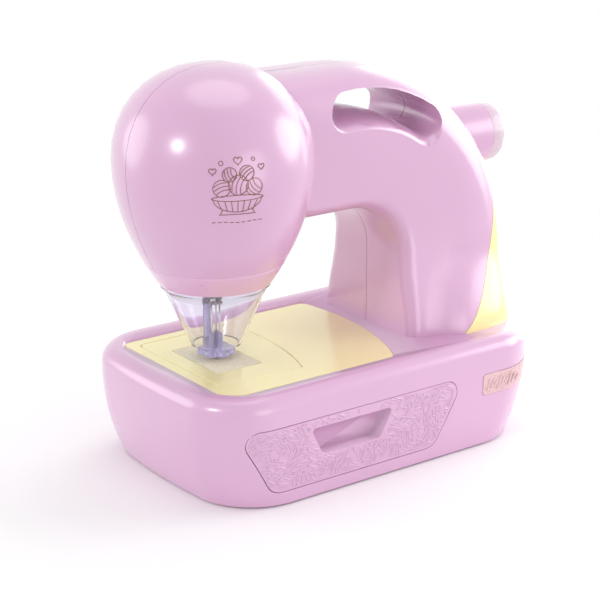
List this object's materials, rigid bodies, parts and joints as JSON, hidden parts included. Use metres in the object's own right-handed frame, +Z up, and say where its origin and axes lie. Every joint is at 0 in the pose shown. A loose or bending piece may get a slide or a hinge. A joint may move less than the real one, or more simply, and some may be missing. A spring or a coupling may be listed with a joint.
{
  "type": "toy sewing machine",
  "caption": "Toy sewing machine with a balloon-shaped head, a carrying handle through its arm, a felting needle head, a hand wheel and a drawer in its base.",
  "frame": {"origin": "centre of the base on the table, at the face of the middle foot", "axes": "+Z up, +X from the needle head to the column and hand wheel, -Y towards the drawer front"},
  "size_m": [0.2437, 0.1407, 0.22],
  "materials": {
    "lilac_shell": "satin",
    "lilac_plain": "matt",
    "pale_rim": "satin",
    "cream_panel": "satin",
    "mat_foam": "matt",
    "pink_tag": "matt",
    "clear_guard": "clear",
    "pearl_knob": "gloss",
    "violet_clear": "clear",
    "rubber": "matt",
    "ivory_plastic": "matt",
    "steel": "satin",
    "brass": "satin",
    "grey_plastic": "matt",
    "dark_plastic": "matt",
    "cell_jacket": "satin"
  },
  "bodies": {
    "housing": {"base_shell": "lilac_shell", "bottom_plate": "lilac_plain", "rubber_feet": "rubber", "bed_plate": "cream_panel", "needle_plate": "cream_panel", "felting_mat": "mat_foam", "tag_plate": "pink_tag", "front_shell": "lilac_shell", "rear_shell": "lilac_shell", "end_cover": "cream_panel", "head_collar": "pale_rim", "needle_guard": "clear_guard", "head_frame": "ivory_plastic", "gear_frame": "ivory_plastic", "shaft_bushes": "brass", "idler_axle": "steel", "motor_can": "steel", "power_switch": "dark_plastic", "battery_box": "dark_plastic", "battery_cells": "cell_jacket", "battery_contacts": "steel", "battery_door": "lilac_plain", "base_screws": "steel", "shell_screws": "steel", "presser_spring": "steel"},
    "drive": {"main_shaft": "steel", "crank_disc": "ivory_plastic", "crank_pin": "steel", "drive_gear": "ivory_plastic", "hand_wheel": "pearl_knob"},
    "needle": {"yoke": "ivory_plastic", "needle_bar": "steel", "needle_holder": "grey_plastic", "needles": "steel"},
    "idler": {"idler_gear": "ivory_plastic"},
    "rotor": {"motor_shaft": "steel", "motor_pinion": "brass"},
    "foot": {"presser_foot": "violet_clear", "presser_bar": "violet_clear"},
    "drawer": {"drawer_front": "lilac_shell", "drawer_tray": "ivory_plastic"},
    "switch": {"switch_knob": "cream_panel"}
  },
  "joints": [
    {"name": "shaft_turn", "type": "hinge", "parent": "housing", "child": "drive", "pos_m": [0, 0, 0.1609], "axis": [1, 0, 0], "range_deg": [0, 180]},
    {"name": "needle_stroke", "type": "slide", "parent": "housing", "child": "needle", "axis": [0, 0, -1], "range_m": [0, 0.012]},
    {"name": "idler_turn", "type": "hinge", "parent": "housing", "child": "idler", "pos_m": [0, 0, 0.1397], "axis": [1, 0, 0], "range_deg": [-450, 0]},
    {"name": "motor_turn", "type": "hinge", "parent": "housing", "child": "rotor", "pos_m": [0, 0, 0.1185], "axis": [1, 0, 0], "range_deg": [0, 1440]},
    {"name": "foot_lift", "type": "slide", "parent": "housing", "child": "foot", "axis": [0, 0, 1], "range_m": [0, 0.004], "stiffness_N_per_m": 150, "deforming": ["presser_spring"]},
    {"name": "drawer_slide", "type": "slide", "parent": "housing", "child": "drawer", "axis": [0, -1, 0], "range_m": [0, 0.082]},
    {"name": "switch_slide", "type": "slide", "parent": "housing", "child": "switch", "axis": [1, 0, 0], "range_m": [0, 0.004]}
  ],
  "couplings": [
    {"joint": "needle_stroke", "follows": "shaft_turn", "m_per_rad": 0.0038197},
    {"joint": "idler_turn", "follows": "shaft_turn", "ratio": -2.5},
    {"joint": "motor_turn", "follows": "shaft_turn", "ratio": 8}
  ]
}
